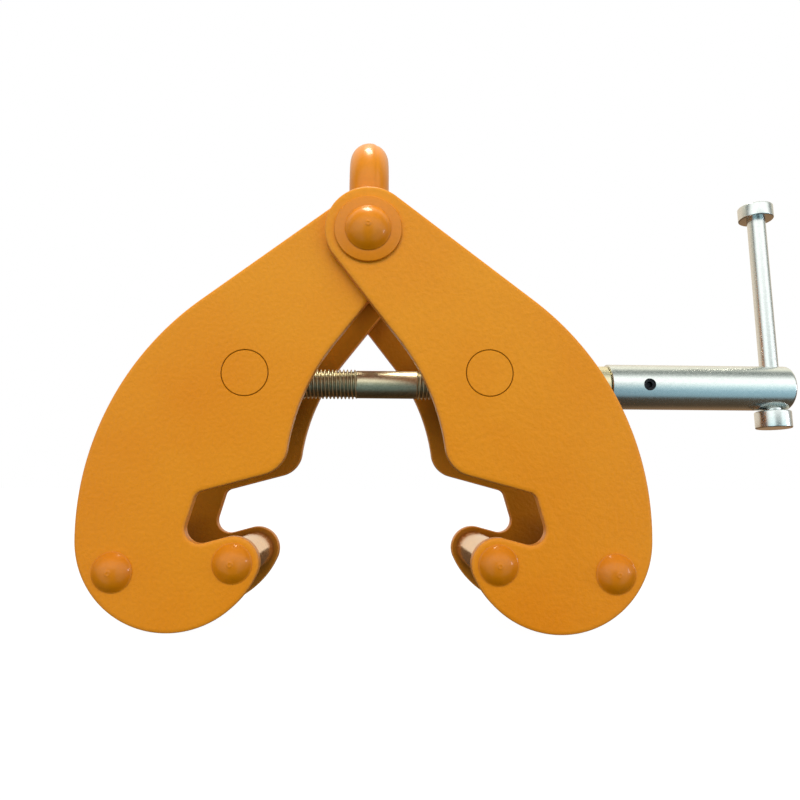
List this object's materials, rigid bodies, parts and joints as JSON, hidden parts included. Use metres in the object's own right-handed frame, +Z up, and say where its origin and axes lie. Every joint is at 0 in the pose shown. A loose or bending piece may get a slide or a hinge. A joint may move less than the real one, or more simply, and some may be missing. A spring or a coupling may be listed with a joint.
{
  "type": "beam clamp",
  "caption": "Screw-adjusted beam clamp: paired steel jaw plates on a pivot pin, drawn together by a threaded spindle with a sliding T-handle, under a swinging lifting bail.",
  "frame": {"origin": "middle of the bail's inner crown, where the hoist's hook bears", "axes": "+X along the spindle towards the handle, +Y to the rear across the plates, +Z up out of the bail"},
  "size_m": [0.4576, 0.1324, 0.3184],
  "materials": {
    "orange_paint": "satin powder coat with slight orange peel",
    "spacer_steel": "turned bare steel",
    "zinc_plate": "bright zinc plate",
    "yellow_steel": "yellow passivated steel",
    "black_screw": "black oxide"
  },
  "bodies": {
    "pivot": {"pivot_pin": "orange_paint", "pivot_washer_front": "orange_paint", "pivot_washer_rear": "orange_paint", "pivot_spacer": "zinc_plate", "pivot_shims": "zinc_plate"},
    "bail": {"bail": "orange_paint"},
    "left_jaw": {"left_front_plate": "orange_paint", "left_rear_plate": "orange_paint", "left_nose_spacer": "spacer_steel", "left_tail_spacer": "orange_paint", "left_nose_rivet": "orange_paint", "left_tail_rivet": "orange_paint"},
    "right_jaw": {"right_front_plate": "orange_paint", "right_rear_plate": "orange_paint", "right_nose_spacer": "spacer_steel", "right_tail_spacer": "orange_paint", "right_nose_rivet": "orange_paint", "right_tail_rivet": "orange_paint"},
    "left_nut": {"left_nut": "orange_paint"},
    "right_nut": {"right_nut": "orange_paint"},
    "stop_ring": {"stop_ring": "yellow_steel"},
    "spindle": {"spindle": "yellow_steel", "spindle_end_ring": "zinc_plate", "handle_sleeve": "zinc_plate", "set_screw": "black_screw"},
    "tommy_bar": {"tommy_bar": "zinc_plate", "tommy_bar_top_cap": "zinc_plate", "tommy_bar_low_cap": "zinc_plate"}
  },
  "joints": [
    {"name": "bail_swing", "type": "hinge", "parent": "pivot", "child": "bail", "pos_m": [0, 0, -0.053], "axis": [0, 1, 0], "range_deg": [-90, 90]},
    {"name": "left_jaw_swing", "type": "hinge", "parent": "pivot", "child": "left_jaw", "pos_m": [0, 0, -0.053], "axis": [0, 1, 0], "range_deg": [-15, 2]},
    {"name": "right_jaw_swing", "type": "hinge", "parent": "pivot", "child": "right_jaw", "pos_m": [0, 0, -0.053], "axis": [0, -1, 0], "range_deg": [-15, 2]},
    {"name": "left_nut_turn", "type": "hinge", "parent": "left_jaw", "child": "left_nut", "pos_m": [-0.0735, 0, -0.1405], "axis": [0, 1, 0], "range_deg": [-2, 15]},
    {"name": "right_nut_turn", "type": "hinge", "parent": "right_jaw", "child": "right_nut", "pos_m": [0.0735, 0, -0.1405], "axis": [0, -1, 0], "range_deg": [-2, 15]},
    {"name": "spindle_travel", "type": "slide", "parent": "left_nut", "child": "stop_ring", "axis": [1, 0, 0], "range_m": [-0.025, 0.00313]},
    {"name": "spindle_turn", "type": "hinge", "parent": "stop_ring", "child": "spindle", "pos_m": [0.16, 0, -0.1405], "axis": [-1, 0, 0], "range_deg": [-452, 3604]},
    {"name": "bar_slide", "type": "slide", "parent": "spindle", "child": "tommy_bar", "axis": [0, 0.0454, 0.999], "range_m": [-0.1069, 0]}
  ],
  "couplings": [
    {"joint": "left_jaw_swing", "follows": "spindle_travel", "rad_per_m": 10.416},
    {"joint": "right_jaw_swing", "follows": "spindle_travel", "rad_per_m": 10.416},
    {"joint": "left_nut_turn", "follows": "spindle_travel", "rad_per_m": -10.416},
    {"joint": "right_nut_turn", "follows": "spindle_travel", "rad_per_m": -10.416},
    {"joint": "spindle_turn", "follows": "spindle_travel", "rad_per_m": -2513.3}
  ]
}
